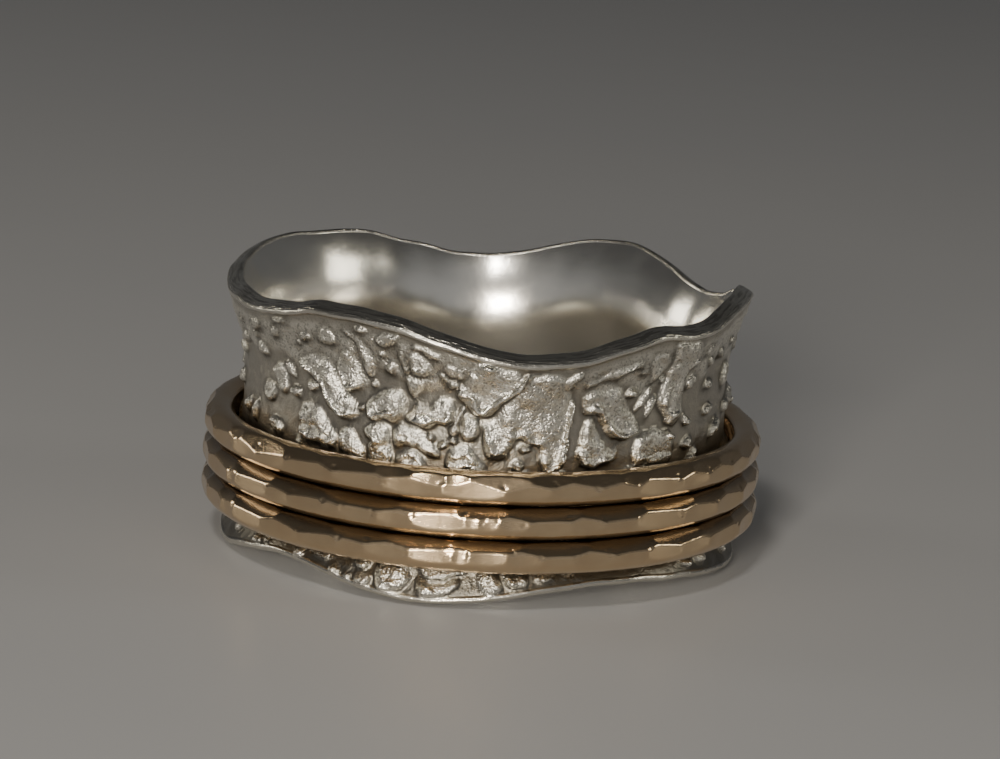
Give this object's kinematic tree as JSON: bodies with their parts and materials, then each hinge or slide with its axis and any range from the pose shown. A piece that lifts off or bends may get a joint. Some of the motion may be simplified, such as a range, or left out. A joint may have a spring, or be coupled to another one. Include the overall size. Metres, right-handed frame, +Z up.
{
  "type": "spinner ring",
  "caption": "Finger ring with a wide pebbled silver band, wavy flared edges and hammered gold wire rings that spin freely round it.",
  "frame": {"origin": "on the surface that the ring lies on, at the axis of the finger hole", "axes": "+Z up along the finger hole, -Y towards the front that the picture shows, +X to its right"},
  "size_m": [0.0218, 0.0218, 0.0112],
  "materials": {
    "silver": "sterling silver, grainy raised islands, dull grey valleys, polished edges and inside",
    "gold": "rose-tinted gold-filled wire, polished, with small hammered flats"
  },
  "bodies": {
    "band": {"band": "silver"},
    "bottom_ring": {"spinner_bottom": "gold"},
    "middle_ring": {"spinner_middle": "gold"},
    "top_ring": {"spinner_top": "gold"}
  },
  "joints": [
    {"name": "bottom_spin", "type": "hinge", "parent": "band", "child": "bottom_ring", "pos_m": [0, 0, 0.0022], "axis": [0, 0, 1], "continuous": true},
    {"name": "middle_spin", "type": "hinge", "parent": "band", "child": "middle_ring", "pos_m": [0, 0, 0.0035], "axis": [0, 0, 1], "continuous": true},
    {"name": "top_spin", "type": "hinge", "parent": "band", "child": "top_ring", "pos_m": [0, 0, 0.0048], "axis": [0, 0, 1], "continuous": true}
  ]
}
